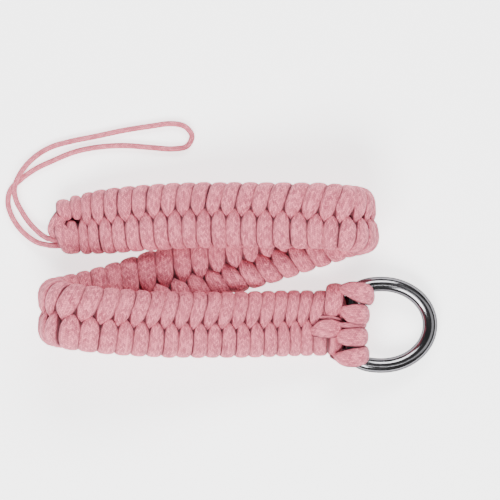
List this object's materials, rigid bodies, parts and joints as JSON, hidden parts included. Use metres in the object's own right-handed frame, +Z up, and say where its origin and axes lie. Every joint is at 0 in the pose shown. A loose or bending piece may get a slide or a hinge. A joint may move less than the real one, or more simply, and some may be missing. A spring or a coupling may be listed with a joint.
{
  "type": "camera wrist strap",
  "caption": "Wrist strap woven from thick cord in a flat two-core braid, lying folded in three runs, with a metal D-ring at one end and a thin doubled tie cord at the other.",
  "frame": {"origin": "on the surface the strap lies on, below the middle of the box round the band and the ring, the thin cord left out", "axes": "+X along the folded strap towards the D-ring, +Y across it towards the first run, +Z up from the surface"},
  "size_m": [0.1182, 0.0688, 0.0239],
  "materials": {
    "woven_cord": "dusty pink braided nylon sheath, matte with a faint sheen",
    "thin_cord": "fine pink braided polyester, matte",
    "ring_metal": "polished gunmetal plating on steel wire"
  },
  "bodies": {
    "strap": {"braided_band": "woven_cord", "centre_tuck": "woven_cord", "end_wrap": "woven_cord", "attachment_loop": "thin_cord", "ring_turn_1": "woven_cord", "ring_turn_2": "woven_cord", "ring_turn_3": "woven_cord", "ring_turn_4": "woven_cord"},
    "ring": {"d_ring": "ring_metal"}
  },
  "joints": [
    {"name": "ring_hinge", "type": "hinge", "parent": "strap", "child": "ring", "pos_m": [0.031, -0.01285, 0.0062], "axis": [0, -1, 0], "range_deg": [-14, 36]}
  ]
}
